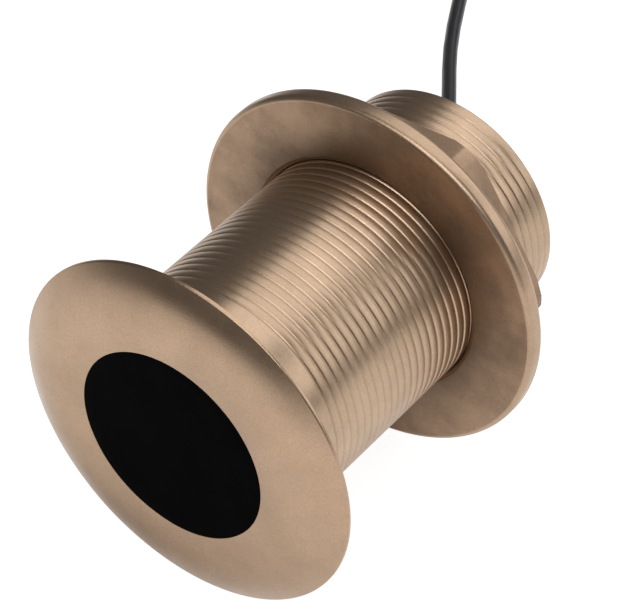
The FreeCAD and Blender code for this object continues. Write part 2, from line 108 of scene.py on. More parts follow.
# The nut.
NUT_FRONT = 111.0 * MM
NUT_END = 137.0 * MM
NUT_FLANGE_RADIUS = 73.6 * MM
NUT_FLANGE_BACK = 118.5 * MM
NUT_RIM_ROUND = 2.4 * MM
NUT_RIM_IN = NUT_FLANGE_RADIUS - NUT_RIM_ROUND
NUT_RIM_STEPS = 8
NUT_HALF_FLATS = 54.5 * MM
NUT_CORNER_RADIUS = 61.5 * MM
NUT_CORNER_ANGLE = -1.0
FLAT_ANGLE = 60.0
NUT_FILLET = 0.8 * MM
NUT_FILLET_BEND = 0.3
NUT_CHAMFER = 1.4 * MM
NUT_CHAMFER_SPREAD = 1.6
NUT_CHAMFER_STEPS = 4
NUT_BORE = 47.3 * MM
NUT_COUNTERSINK = 1.6 * MM
NUT_BACK_LAND = 4.0 * MM
NUT_FINISH_MARGIN = 0.5 * MM

# The potting in the stem's end, drawn up at the wall and less at the boot.
SEAL_BOTTOM = 150.0 * MM
SEAL_TOP = 157.0 * MM
SEAL_NECK = 6.1 * MM
SEAL_GAP = 0.1 * MM
SEAL_RISE = 0.8 * MM
SEAL_STEPS = 24
SEAL_DECAY = 14
SEAL_NECK_SHARE = 0.4

# The cable's boot: its collar and neck under the potting, its root, and its tip.
BOOT_COLLAR = (145.9 * MM, 149.9 * MM, 9.0 * MM)
BOOT_NECK = 6.0 * MM
BOOT_ROOT = 8.0 * MM
BOOT_TIP = 4.4 * MM
BOOT_START = 157.1 * MM
BOOT_LENGTH = 12.0 * MM
BOOT_STRAIGHT = 5.0 * MM
BOOT_ROUND = 0.6 * MM
BOOT_GROOVES = 2
BOOT_GROOVE_STEPS = 12
BOOT_GROOVE_DEPTH = 0.7 * MM
BOOT_GROOVE_WIDTH = 0.35
BOOT_GROOVE_FADE = 0.4
BOOT_TIP_EDGE = ((0.1 * MM, 0.3 * MM), (0.4 * MM, 0.0))

# The cable's route, as on the frame but nearer the photograph behind the stem.
CORD_RADIUS = 3.3 * MM
CORD_ORDER = 3
CORD_STEPS = 4
CORD_BEVEL_STEPS = 4
CABLE_ROUTE = [
    (0.0, 0.0866, 0.0753),
    (0.0, 0.1025, 0.0758),
    (-0.0037, 0.1183, 0.0706),
    (-0.0122, 0.1317, 0.0584),
    (-0.0261, 0.1392, 0.0392),
    (-0.0394, 0.1512, 0.0223),
    (-0.0540, 0.1688, 0.0109),
    (-0.0712, 0.1896, 0.0046),
    (-0.0869, 0.2128, 0.0033),
    (-0.1195, 0.2605, 0.0033),
    (-0.1579, 0.3429, 0.0040),
]
TAIL_ROUTE = [
    (-0.0564, 0.4809, 0.0208),
    (-0.0415, 0.4783, 0.0175),
    (-0.0260, 0.4756, 0.0116),
]
PLUG_BACK = (-0.0090, 0.4726, 0.0110)
PLUG_HEADING = -10.0

# The coil: its rows' turns from the bottom up, and the angles where the cable
# comes in and goes out. A turn moves to the next ring in its last share.
COIL_CENTRE = (-0.1082, 0.4127)
COIL_FIRST_ANGLE = 208.0
COIL_LAST_ANGLE = 80.0
COIL_LOWEST = 4.3 * MM
COIL_OUTER = 79.2 * MM
COIL_ROWS = (7, 6, 7, 6)
HOLLOW_ANGLE = 30.0
POINTS_PER_TURN = 16
CROSSING_SHARE = 0.22

# The straps: one outline round the coil's section, and each strap's own section
# as parts of its half width and of its wall.
TIE_ANGLES = (20.0, 150.0, 270.0)
TIE_HALF_WIDTH = 5.0 * MM
TIE_WALL = 0.8 * MM
TIE_INSIDE = 35.8 * MM
TIE_OUTSIDE = 83.0 * MM
TIE_ROUND = 2.6 * MM
TIE_CORNER_STEPS = 6
TIE_CORNERS = ((1, 1), (-1, 1), (-1, -1), (1, -1))
TIE_SECTION = ((-1.0, 0.15), (-0.96, 0.0), (0.96, 0.0), (1.0, 0.15),
               (1.0, 0.85), (0.96, 1.0), (-0.96, 1.0), (-1.0, 0.85))

# The plug, from its back: the tail boot with its ribs and the shell, both in
# millimetres, and the coupling ring with its flutes.
PLUG = (Matrix.Translation(PLUG_BACK) @ Matrix.Rotation(math.radians(PLUG_HEADING), 4, "Z")
        @ Matrix.Rotation(math.radians(90), 4, "Y"))
TAIL_BACK = ((0.0, 0.0, 1), (4.4, 0.0), (5.2, 5.0, 1))
TAIL_FRONT = ((6.5, 17.6, 1), (6.5, 18.0), (0.0, 18.0, 1))
TAIL_ROUND = 0.4 * MM
TAIL_START_RADIUS = 4.4
TAIL_GROWTH = 2.1
TAIL_GROWTH_LENGTH = 13.0
TAIL_RIB_START = 5.0
TAIL_RIB_LENGTH = 12.6
TAIL_RIBS = 4
TAIL_RIB_STEPS = 48
TAIL_RIB_DEPTH = 0.45
TAIL_RIB_WIDTH = 0.3
TAIL_RIB_END = 0.85
SHELL_OUTLINE = ((0.0, 18.1, 1), (8.6, 18.1), (8.6, 33.2), (9.5, 33.2), (9.5, 35.2), (8.6, 35.2),
                 (8.6, 44.1), (7.2, 44.1), (7.2, 33.1), (0.0, 33.1, 1))
SHELL_ROUND = 0.3 * MM
RING_START = 31.1 * MM
RING_END = 46.1 * MM
RING_OUTER = 11.0 * MM
RING_BORE = 9.6 * MM
RING_NECK = 8.7 * MM
RING_FLUTES = 18
RING_FLUTE_DEPTH = 0.55 * MM
RING_BORE_EDGE = 0.2 * MM
RING_STEP = 2.0 * MM

# The coupling ring's outside at its back and at its front, in millimetres: how far
# under the outer radius, how far from that end, and whether it is fluted there.
RING_BACK = ((0.6, 0.0, 0), (0.2, 0.2, 0), (0.0, 0.6, 0), (0.0, 1.6, 0), (0.0, 2.4, 1))
RING_FRONT = ((0.0, 3.4, 1), (0.0, 2.6, 0), (0.0, 0.6, 0), (0.2, 0.2, 0), (0.6, 0.0, 0))

# How finely turned pieces are cut round, which edges stay sharp, and how near
# points are merged.
AROUND = 256
NUT_AROUND = 360
BOOT_AROUND = 64
SHELL_AROUND = 96
RING_AROUND = 216
SHARP_ANGLE = math.radians(30.0)
MERGE = 1e-6


def smooth_step(low, high, value):
    """0 below low, 1 above high, and an even curve between."""
    part = min(max((value - low) / (high - low), 0.0), 1.0)
    return part * part * (3 - 2 * part)


def finish_mesh(name, bm, material):
    """A piece from a bmesh: merged, facing out, smooth apart from its sharp edges."""
    bmesh.ops.remove_doubles(bm, verts=bm.verts, dist=MERGE)
    bmesh.ops.dissolve_degenerate(bm, edges=bm.edges, dist=MERGE / 10)
    bmesh.ops.recalc_face_normals(bm, faces=bm.faces)
    for face in bm.faces:
        face.smooth = True
    for edge in bm.edges:
        edge.smooth = len(edge.link_faces) == 2 and edge.calc_face_angle(0) < SHARP_ANGLE
    mesh = bpy.data.meshes.new(name)
    bm.to_mesh(mesh)
    bm.free()
    piece = bpy.data.objects.new(name, mesh)
    bpy.context.scene.collection.objects.link(piece)
    mesh.materials.append(material)
    return piece


def closed(rows):
    """Whether a turned piece's outline comes back to its first row, as a ring's does."""
    first = rows[0](0.0) if callable(rows[0]) else rows[0]
    return first[0] > 0


def swept_rows(name, rows, place, material, around=AROUND):
    """A turned piece. Each row gives radius and height at an angle; a plain pair
    is the same all round. A radius of 0 closes an end."""
    bm = bmesh.new()
    grid = []
    for column in range(around + 1):
        angle = math.tau * column / around
        line = []
        for row in rows:
            radius, along = row(angle) if callable(row) else row
            spot = Vector((radius * math.cos(angle), radius * math.sin(angle), along))
            line.append(bm.verts.new(place @ spot))
        grid.append(line)
    for here, after in zip(grid, grid[1:]):
        for index in range(len(rows)):
            below = (index + 1) % len(rows)
            if below == 0 and not closed(rows):
                continue
            bm.faces.new((here[index], after[index], after[below], here[below]))
    return finish_mesh(name, bm, material)


def arc(start, heading, end, count):
    """Points along the arc from start to end that leaves start along heading."""
    start, heading, end = Vector(start), Vector(heading).normalized(), Vector(end)
    chord = end - start
    normal = Vector((-heading.y, heading.x))
    radius = chord.dot(chord) / (2 * chord.dot(normal))
    centre = start + normal * radius
    first = math.atan2(start.y - centre.y, start.x - centre.x)
    last = math.atan2(end.y - centre.y, end.x - centre.x)
    turn = (last - first + math.pi) % math.tau - math.pi
    reach = abs(radius)
    return [(centre.x + reach * math.cos(first + turn * step / count),
             centre.y + reach * math.sin(first + turn * step / count))
            for step in range(count + 1)]


def softened(corners, radius=EDGE, count=3):
    """An outline with its corners rounded. A corner with a third entry stays as it is."""
    longest_trim = 0.4
    points = []
    total = len(corners)
    for index, corner in enumerate(corners):
        here = Vector(corner[:2])
        if len(corner) == 3:
            points.append(tuple(here))
            continue
        back = Vector(corners[index - 1][:2]) - here
        ahead = Vector(corners[(index + 1) % total][:2]) - here
        trim = min(radius, back.length * longest_trim, ahead.length * longest_trim)
        first = here + back.normalized() * trim
        last = here + ahead.normalized() * trim
        for step in range(count + 1):
            part = step / count
            spot = first * (1 - part) ** 2 + here * 2 * part * (1 - part) + last * part ** 2
            points.append(tuple(spot))
    return points


def node_tree(name):
    """A new material with its tree's nodes and links, and the surface shader."""
    material = bpy.data.materials.new(name)
    material.use_nodes = True
    nodes = material.node_tree.nodes
    return material, nodes, material.node_tree.links, nodes["Principled BSDF"]


def noise(nodes, links, scale, detail=3.0, roughness=0.5):
    """Noise in the object's own coordinates, in metres."""
    where = nodes.new("ShaderNodeTexCoord").outputs["Object"]
    texture = nodes.new("ShaderNodeTexNoise")
    texture.inputs["Scale"].default_value = scale
    texture.inputs["Detail"].default_value = detail
    texture.inputs["Roughness"].default_value = roughness
    links.new(where, texture.inputs["Vector"])
    return texture.outputs["Fac"]


def ramp(nodes, links, source, stops):
    """A colour ramp over a factor. Each stop is a place and a grey."""
    piece = nodes.new("ShaderNodeValToRGB")
    elements = piece.color_ramp.elements
    while len(elements) < len(stops):
        elements.new(0.5)
    for element, (spot, grey) in zip(elements, stops):
        element.position = spot
        element.color = (grey, grey, grey, 1.0)
    links.new(source, piece.inputs["Fac"])
    return piece.outputs["Color"]


def near_centre(nodes, links, mapping, stops):
    """A factor by how near a place is to a mapping's centre, in parts of its reach."""
    where = nodes.new("ShaderNodeTexCoord").outputs["Object"]
    links.new(where, mapping.inputs["Vector"])
    gradient = nodes.new("ShaderNodeTexGradient")
    gradient.gradient_type = "SPHERICAL"
    links.new(mapping.outputs["Vector"], gradient.inputs["Vector"])
    return ramp(nodes, links, gradient.outputs["Fac"], stops)


def mixed(nodes, links, fac, first, second, mode="MIX"):
    """Two colours mixed by a factor."""
    mix = nodes.new("ShaderNodeMix")
    mix.data_type = "RGBA"
    mix.blend_type = mode
    colours = [socket for socket in mix.inputs if socket.type == "RGBA"]
    for socket, value in zip((mix.inputs["Factor"], *colours), (fac, first, second)):
        if hasattr(value, "links"):
            links.new(value, socket)
        else:
            socket.default_value = value
    return next(socket for socket in mix.outputs if socket.type == "RGBA")


def product(nodes, links, first, second):
    """Two factors multiplied. The second may be a number."""
    node = nodes.new("ShaderNodeMath")
    node.operation = "MULTIPLY"
    links.new(first, node.inputs[0])
    if hasattr(second, "links"):
        links.new(second, node.inputs[1])
    else:
        node.inputs[1].default_value = second
    return node.outputs[0]


def bumped(nodes, links, shader, sources):
    """Bumps stacked on a shader: each is a height, a strength and a distance."""
    normal = None
    for height, strength, distance in sources:
        bump = nodes.new("ShaderNodeBump")
        bump.inputs["Strength"].default_value = strength
        bump.inputs["Distance"].default_value = distance
        links.new(height, bump.inputs["Height"])
        if normal is not None:
            links.new(normal, bump.inputs["Normal"])
        normal = bump.outputs["Normal"]
    links.new(normal, shader.inputs["Normal"])


def rgba(colour, factor=1.0):
    """A colour, darker or lighter by a factor, as a socket takes it."""
    return tuple(part * factor for part in colour) + (1.0,)


# Bronze: its colour, the scales of its clouds and its blasted grain, and the
# turned finish, which stretches what it mirrors along the stem.
BRONZE_COLOUR = (0.52, 0.375, 0.26)
CLOUD_SCALE = 55.0
CLOUD_DETAIL = 4.0
CLOUD_ROUGHNESS = 0.6
GRAIN_SCALE = 1500.0
GRAIN_DETAIL = 2.0
CLOUD_BUMP = (0.1, 0.0004)
GRAIN_BUMP = (0.25, 0.0001)
DULL_STOPS = ((0.36, 0.0), (0.72, 1.0))
SPECK_STOPS = ((0.35, 0.93), (0.65, 1.05))
GLOSS_SPOTS = (0.3, 0.75)
TURNED_ROTATION = 0.25

# The nut's face is darkened round its bore by painted shade, standing for the stem's shadow and
# reflection there: the factor by how near the axis a place is, from the shade's reach (0) to the
# axis (1). Along the axis it hardly changes.
BORE_SHADE_REACH = 80.0 * MM
BORE_SHADE_DEPTH = 10.0
BORE_SHADE_STOPS = ((0.17, 1.0), (0.26, 0.84), (0.33, 0.66), (0.39, 0.50))

# Black and inner pieces: their clouds' scale, how much lighter or darker the
# clouds are, and how the gloss varies with them.
BLACK_CLOUD_SCALE = 60.0
BLACK_WORN = 1.8
BLACK_GLOSS = ((0.3, -0.05), (0.7, 0.07))
PLAIN_DARK = 0.75
PLAIN_BUMP = 0.2
BUMP_DISTANCE = 0.0002


def painted_bore_shade(nodes, links):
    """A factor of painted shade that darkens the metal near the stem's axis."""
    mapping = nodes.new("ShaderNodeMapping")
    mapping.vector_type = "TEXTURE"
    mapping.inputs["Location"].default_value = STEM @ Vector((0, 0, NUT_FRONT))
    mapping.inputs["Rotation"].default_value = STEM.to_euler()
    mapping.inputs["Scale"].default_value = (BORE_SHADE_REACH, BORE_SHADE_REACH, BORE_SHADE_DEPTH)
    return near_centre(nodes, links, mapping, BORE_SHADE_STOPS)


def bronze_material(name, mottle, gloss, shade=(1.0, 1.0, 1.0), turned=0.0, painted_shade=False):
    """Satin bronze: fine blasted grain, and clouds that change its colour and its
    gloss, which is the roughness between and in them."""
    material, nodes, links, shader = node_tree(name)
    shader.inputs["Metallic"].default_value = 1.0
    cloud = noise(nodes, links, CLOUD_SCALE, CLOUD_DETAIL, CLOUD_ROUGHNESS)
    grain = noise(nodes, links, GRAIN_SCALE, GRAIN_DETAIL)
    clean = tuple(part * tone for part, tone in zip(BRONZE_COLOUR, shade))
    dull = ramp(nodes, links, cloud, DULL_STOPS)
    colour = mixed(nodes, links, dull, rgba(clean), rgba(clean, 1 - mottle))
    speck = ramp(nodes, links, grain, SPECK_STOPS)
    colour = mixed(nodes, links, 1.0, colour, speck, "MULTIPLY")
    # Painted shade darkens the nut's face round its bore.
    if painted_shade:
        colour = mixed(nodes, links, 1.0, colour, painted_bore_shade(nodes, links), "MULTIPLY")
    links.new(colour, shader.inputs["Base Color"])
    rough = ramp(nodes, links, cloud, tuple(zip(GLOSS_SPOTS, gloss)))
    links.new(rough, shader.inputs["Roughness"])
    bumped(nodes, links, shader, ((grain, *GRAIN_BUMP), (cloud, *CLOUD_BUMP)))
    if turned:
        tangent = nodes.new("ShaderNodeTangent")
        tangent.direction_type = "RADIAL"
        tangent.axis = "Y"
        links.new(tangent.outputs["Tangent"], shader.inputs["Tangent"])
        shader.inputs["Anisotropic"].default_value = turned
        shader.inputs["Anisotropic Rotation"].default_value = TURNED_ROTATION
    return material


def black_material(name, colour, rough, specular, grain_scale, grain_strength):
    """A black plastic or rubber with a fine grain and uneven gloss."""
    material, nodes, links, shader = node_tree(name)
    cloud = noise(nodes, links, BLACK_CLOUD_SCALE)
    grain = noise(nodes, links, grain_scale, GRAIN_DETAIL)
    colours = mixed(nodes, links, cloud, rgba(colour), rgba(colour, BLACK_WORN))
    links.new(colours, shader.inputs["Base Color"])
    gloss = ramp(nodes, links, cloud, [(spot, rough + more) for spot, more in BLACK_GLOSS])
    links.new(gloss, shader.inputs["Roughness"])
    shader.inputs["Specular IOR Level"].default_value = specular
    bumped(nodes, links, shader, ((grain, grain_strength, BUMP_DISTANCE),))
    return material


def plain_material(name, colour, rough, metallic=0.0, scale=200.0):
    """An inner piece's material: its colour, cloudy and slightly grained."""
    material, nodes, links, shader = node_tree(name)
    cloud = noise(nodes, links, scale)
    colours = mixed(nodes, links, cloud, rgba(colour), rgba(colour, PLAIN_DARK))
    links.new(colours, shader.inputs["Base Color"])
    shader.inputs["Metallic"].default_value = metallic
    shader.inputs["Roughness"].default_value = rough
    bumped(nodes, links, shader, ((cloud, PLAIN_BUMP, BUMP_DISTANCE),))
    return material


TINNED = (0.62, 0.58, 0.52)
NUT_MOTTLE, NUT_GLOSS, NUT_SHADE = 0.32, (0.46, 0.60), (0.87, 0.83, 0.81)
BRONZE = bronze_material("bronze_turned", 0.10, (0.31, 0.41), turned=0.5)
BRONZE_FLANGE = bronze_material("bronze_flange", 0.10, (0.25, 0.35), (0.95, 0.91, 0.89))
BRONZE_RIM = bronze_material("bronze_rim", 0.12, (0.30, 0.42), (0.93, 0.91, 0.90))
BRONZE_CAST = bronze_material("bronze_nut", NUT_MOTTLE, NUT_GLOSS, NUT_SHADE)
# The nut's face carries painted shade round its bore.
BRONZE_FACE = bronze_material("bronze_nut_face", NUT_MOTTLE, NUT_GLOSS, NUT_SHADE, painted_shade=True)
# Each black: colour, roughness, specular level, and the grain's scale and strength.
WINDOW = black_material("window_black", (0.0010, 0.0010, 0.0011), 0.50, 0.008, 900.0, 0.08)
POTTING = black_material("potting_black", (0.012, 0.012, 0.013), 0.28, 0.5, 300.0, 0.05)
RUBBER = black_material("boot_rubber", (0.016, 0.016, 0.017), 0.55, 0.35, 1200.0, 0.25)
JACKET = black_material("cable_jacket", (0.014, 0.014, 0.016), 0.38, 0.5, 1200.0, 0.10)
STRAP = black_material("strap_woven", (0.020, 0.020, 0.022), 0.85, 0.3, 2500.0, 0.8)
PLASTIC = black_material("plug_plastic", (0.018, 0.018, 0.019), 0.45, 0.45, 1500.0, 0.25)
NODE_LOOKS = {
    "matching_layer": plain_material("matching_resin", (0.50, 0.46, 0.38), 0.5),
    "piezo_element": plain_material("ceramic_silvered", (0.62, 0.61, 0.58), 0.35),
    "backing_disc": plain_material("backing_resin", (0.12, 0.12, 0.13), 0.5),
    "isolation_sleeve": plain_material("sleeve_cork", (0.36, 0.22, 0.11), 0.8, scale=900.0),
    "rear_fill": plain_material("potting_amber", (0.22, 0.13, 0.05), 0.3),
    "element_leads": plain_material("wire_tinned", TINNED, 0.3, 1.0),
    "matching_transformer": plain_material("winding_varnished", (0.32, 0.10, 0.03), 0.35,
                                           scale=700.0),
    "terminal_board": plain_material("board_green", (0.03, 0.16, 0.07), 0.35),
    "terminal_posts": plain_material("post_tinned", TINNED, 0.3, 1.0),
    "cable_cores": plain_material("core_copper", (0.60, 0.30, 0.16), 0.35, 1.0),
    "plug_insert": plain_material("insert_grey", (0.05, 0.05, 0.055), 0.5),
    "plug_washer": plain_material("washer_silicone", (0.30, 0.04, 0.02), 0.6),
    "contact_sockets": plain_material("contact_gilt", (0.75, 0.55, 0.25), 0.25, 1.0),
}


def add_finish(piece, material, chosen):
    """Give the faces chosen by radius and height about the stem's axis a finish."""
    piece.data.materials.append(material)
    slot_index = len(piece.data.materials) - 1
    to_stem = STEM.inverted()
    for face in piece.data.polygons:
        centre = to_stem @ face.center
        if chosen(math.hypot(centre.x, centre.y), centre.z):
            face.material_index = slot_index


def thread_rows():
    """The thread's rows: a helical groove that fades out at both its ends."""
    rows = []
    turns = math.ceil((THREAD_END - THREAD_START) / PITCH) + 2
    lead = math.ceil((THREAD_PHASE - THREAD_START) / PITCH) + THREAD_LEAD_TURNS
    start = THREAD_PHASE - PITCH * lead

    def row(turn, part, depth):
        def spot(angle):
            along = start + PITCH * (turn + part + angle / math.tau)
            along = min(max(along, THREAD_START), THREAD_END)
            fade = (smooth_step(THREAD_START, THREAD_START + THREAD_FADE, along)
                    * smooth_step(-THREAD_END, -THREAD_END + THREAD_FADE, -along))
            return STEM_RADIUS - GROOVE_DEPTH * depth * fade, along
        return spot

    for turn in range(turns):
        for part, depth in GROOVE:
            rows.append(row(turn, part, depth))
    rows.append(row(turns, 0.0, 0.0))
    return rows


def make_housing():
    """The bronze casting with its thread."""
    front = softened([(WINDOW_RADIUS, WINDOW_LIP, 1), (WINDOW_RADIUS, 0), (FLANGE_FLAT, 0, 1)])
    dome = arc((FLANGE_FLAT, 0), (1, 0), (FLANGE_RADIUS, FLANGE_RISE), DOME_STEPS)[1:-2]
    rim = softened([dome[-1] + (1,), (FLANGE_RADIUS, FLANGE_RISE - FLANGE_RIM_LAND),
                    (FLANGE_RADIUS, FLANGE_BACK - EDGE, 1)],
                   FLANGE_RIM_ROUND, FLANGE_RIM_STEPS)[1:]
    rim += softened([rim[-1] + (1,), (FLANGE_RADIUS, FLANGE_BACK),
                     (STEM_RADIUS + UNDERCUT_WIDTH, FLANGE_BACK, 1)])[1:]
    undercut = FLANGE_BACK - UNDERCUT_DEPTH
    root = [(STEM_RADIUS + UNDERCUT_WIDTH, undercut), (RELIEF_RADIUS + RELIEF_CHAMFER, undercut),
            (RELIEF_RADIUS, undercut + RELIEF_CHAMFER)]
    relief_back = FLANGE_BACK + RELIEF_END
    shoulder = softened([(RELIEF_RADIUS, relief_back),
                         (STEM_RADIUS, relief_back + STEM_RADIUS - RELIEF_RADIUS),
                         (STEM_RADIUS, THREAD_START, 1)])[:-1]
    tail = softened([(STEM_RADIUS, THREAD_END, 1), (STEM_RADIUS, STEM_LENGTH - STEM_END_CHAMFER),
                     (STEM_RADIUS - STEM_END_CHAMFER, STEM_LENGTH), (BORE_RADIUS, STEM_LENGTH),
                     (BORE_RADIUS, WINDOW_LIP, 1)])[1:]
    rows = front + dome + rim + root + shoulder + thread_rows() + tail
    piece = swept_rows("housing_bronze", rows, STEM, BRONZE)
    add_finish(piece, BRONZE_FLANGE, lambda radius, along: along < FLANGE_BACK + EDGE)
    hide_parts("housing")
    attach(piece, "transducer")


def make_window():
    """The black window, a hair under the bronze, with a soft edge."""
    radius = WINDOW_RADIUS - WINDOW_GAP
    rows = [(0.0, WINDOW_GAP)]
    rows += [(radius * part / WINDOW_RINGS, WINDOW_GAP) for part in range(1, WINDOW_RINGS)]
    rows += softened([rows[-1] + (1,), (radius, WINDOW_GAP), (radius, WINDOW_BACK),
                      (0.0, WINDOW_BACK, 1)], WINDOW_EDGE)[1:]
    piece = swept_rows("window_disc", rows, STEM, WINDOW)
    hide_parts("acoustic_window")
    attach(piece, "transducer")


def hexagon(angle):
    """The flats' distance from the axis at an angle."""
    turned = (math.degrees(angle) - NUT_CORNER_ANGLE + FLAT_ANGLE / 2) % FLAT_ANGLE
    if turned > FLAT_ANGLE / 2:
        turned -= FLAT_ANGLE
    return NUT_HALF_FLATS / math.cos(math.radians(turned))


def make_nut():
    """The hull nut: washer flange with a rounded rim, six flats with turned corners."""
    inner = NUT_BORE + NUT_COUNTERSINK
    front = softened([(NUT_BORE, NUT_FRONT + NUT_COUNTERSINK, 1), (inner, NUT_FRONT),
                      (NUT_RIM_IN, NUT_FRONT, 1)])
    rim = arc((NUT_RIM_IN, NUT_FRONT), (1, 0),
              (NUT_FLANGE_RADIUS, NUT_FRONT + NUT_RIM_ROUND), NUT_RIM_STEPS)[1:]
    rim += arc((NUT_FLANGE_RADIUS, NUT_FLANGE_BACK - NUT_RIM_ROUND), (0, 1),
               (NUT_RIM_IN, NUT_FLANGE_BACK), NUT_RIM_STEPS)

    def flat_row(limit, along, grow=0.0):
        return lambda angle: (min(hexagon(angle) + grow, limit), along)

    bend = NUT_FILLET * NUT_FILLET_BEND
    flats = [flat_row(NUT_CORNER_RADIUS + NUT_FILLET, NUT_FLANGE_BACK, NUT_FILLET),
             flat_row(NUT_CORNER_RADIUS + bend, NUT_FLANGE_BACK + bend, bend),
             flat_row(NUT_CORNER_RADIUS, NUT_FLANGE_BACK + NUT_FILLET),
             flat_row(NUT_CORNER_RADIUS, NUT_END - NUT_CHAMFER)]
    for step in range(1, NUT_CHAMFER_STEPS + 1):
        part = step / NUT_CHAMFER_STEPS
        flats.append(flat_row(NUT_CORNER_RADIUS - NUT_CHAMFER * part * NUT_CHAMFER_SPREAD,
                              NUT_END - NUT_CHAMFER * (1 - part)))
    back = softened([(inner + NUT_BACK_LAND, NUT_END, 1), (inner, NUT_END),
                     (NUT_BORE, NUT_END - NUT_COUNTERSINK, 1)])
    rows = front + rim + flats + back
    piece = swept_rows("nut_bronze", rows, STEM, BRONZE_CAST, NUT_AROUND)
    add_finish(piece, BRONZE_FACE, lambda radius, along: along < NUT_FRONT + EDGE)
    add_finish(piece, BRONZE_RIM, lambda radius, along: radius > NUT_RIM_IN + NUT_FINISH_MARGIN)
    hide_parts("hull_nut")
    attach(piece, "nut")


def make_seal():
    """The potting in the stem's end, drawn up a little at the wall and the boot."""
    wall = BORE_RADIUS - SEAL_GAP
    rows = [(SEAL_NECK, SEAL_BOTTOM), (SEAL_NECK, SEAL_TOP)]
    for step in range(1, SEAL_STEPS):
        part = step / SEAL_STEPS
        at_wall = math.exp(-(1 - part) * SEAL_DECAY)
        at_neck = math.exp(-part * SEAL_DECAY) * SEAL_NECK_SHARE
        rows.append((SEAL_NECK + (wall - SEAL_NECK) * part,
                     SEAL_TOP + SEAL_RISE * (at_wall + at_neck)))
    rows += [(wall, SEAL_TOP + SEAL_RISE), (wall, SEAL_BOTTOM)]
    piece = swept_rows("potting_seal", rows, STEM, POTTING)
    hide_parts("end_seal")
    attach(piece, "transducer")


def make_strain_relief():
    """The moulded boot round the cable, with its flexing grooves."""
    collar_start, collar_end, collar_radius = BOOT_COLLAR
    rows = [(0.0, collar_start), (collar_radius, collar_start), (collar_radius, collar_end),
            (BOOT_NECK, collar_end), (BOOT_NECK, BOOT_START)]
    rows += softened([(BOOT_NECK, BOOT_START, 1), (BOOT_ROOT, BOOT_START),
                      (BOOT_ROOT, BOOT_START + BOOT_STRAIGHT, 1)], BOOT_ROUND)[1:]
    steps = BOOT_GROOVE_STEPS * BOOT_GROOVES
    for step in range(1, steps + 1):
        part = step / steps
        wave = math.cos(math.tau * (part * BOOT_GROOVES - 0.5)) - BOOT_GROOVE_WIDTH
        dip = BOOT_GROOVE_DEPTH * max(0.0, wave) / (1 - BOOT_GROOVE_WIDTH)
        radius = BOOT_ROOT + (BOOT_TIP - BOOT_ROOT) * part - dip * (1 - BOOT_GROOVE_FADE * part)
        along = BOOT_START + BOOT_STRAIGHT + (BOOT_LENGTH - BOOT_STRAIGHT - BOOT_ROUND) * part
        rows.append((radius, along))
    end = BOOT_START + BOOT_LENGTH
    rows += [(BOOT_TIP - inset, end - back) for inset, back in BOOT_TIP_EDGE] + [(0.0, end)]
    piece = swept_rows("strain_boot", rows, STEM, RUBBER, BOOT_AROUND)
    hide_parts("strain_relief")
    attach(piece, "transducer")
    return piece


def coil_points():
    """The coil's turns: rows of rings a diameter apart, each row resting in the
    hollows of the one below, wound inwards and outwards by turns."""
    diameter = 2 * CORD_RADIUS
    sites = []
    for index, count in enumerate(COIL_ROWS):
        outer = COIL_OUTER - (index % 2) * diameter / 2
        radii = [outer - diameter * place for place in range(count)]
        if index % 2:
            radii.reverse()
        height = COIL_LOWEST + index * diameter * math.cos(math.radians(HOLLOW_ANGLE))
        sites += [(radius, height) for radius in radii]
    step = math.tau / POINTS_PER_TURN
    swell = 1 / math.cos(step / 2)
    travel = math.radians(COIL_FIRST_ANGLE - COIL_LAST_ANGLE) + math.tau * (len(sites) - 1)
    count = round(travel / step)
    points = []
    for index in range(count + 1):
        turned = travel * index / count
        turn, part = divmod(turned / math.tau, 1.0)
        here = sites[int(turn)]
        after = sites[min(int(turn) + 1, len(sites) - 1)]
        shift = smooth_step(1 - CROSSING_SHARE, 1.0, part)
        radius = (here[0] + (after[0] - here[0]) * shift) * swell
        height = here[1] + (after[1] - here[1]) * shift
        angle = math.radians(COIL_FIRST_ANGLE) - turned
        points.append((COIL_CENTRE[0] + radius * math.cos(angle),
                       COIL_CENTRE[1] + radius * math.sin(angle), height))
    return points


def make_cord():
    """The cable: from the strain relief along the floor, its coil, and to the plug."""
    points = CABLE_ROUTE + coil_points() + TAIL_ROUTE + [PLUG_BACK]
    curve = bpy.data.curves.new("cable_curve", "CURVE")
    curve.dimensions = "3D"
    spline = curve.splines.new("NURBS")
    spline.points.add(len(points) - 1)
    for point, spot in zip(spline.points, points):
        point.co = (*spot, 1.0)
    spline.order_u = CORD_ORDER
    spline.use_endpoint_u = True
    spline.resolution_u = CORD_STEPS
    curve.bevel_depth = CORD_RADIUS
    curve.bevel_resolution = CORD_BEVEL_STEPS
    curve.use_fill_caps = True
    cord = bpy.data.objects.new("cable_whole", curve)
    bpy.context.scene.collection.objects.link(cord)
    curve.materials.append(JACKET)
    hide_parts("cable", "cable_coil", "cable_tail")
    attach(cord, "transducer")


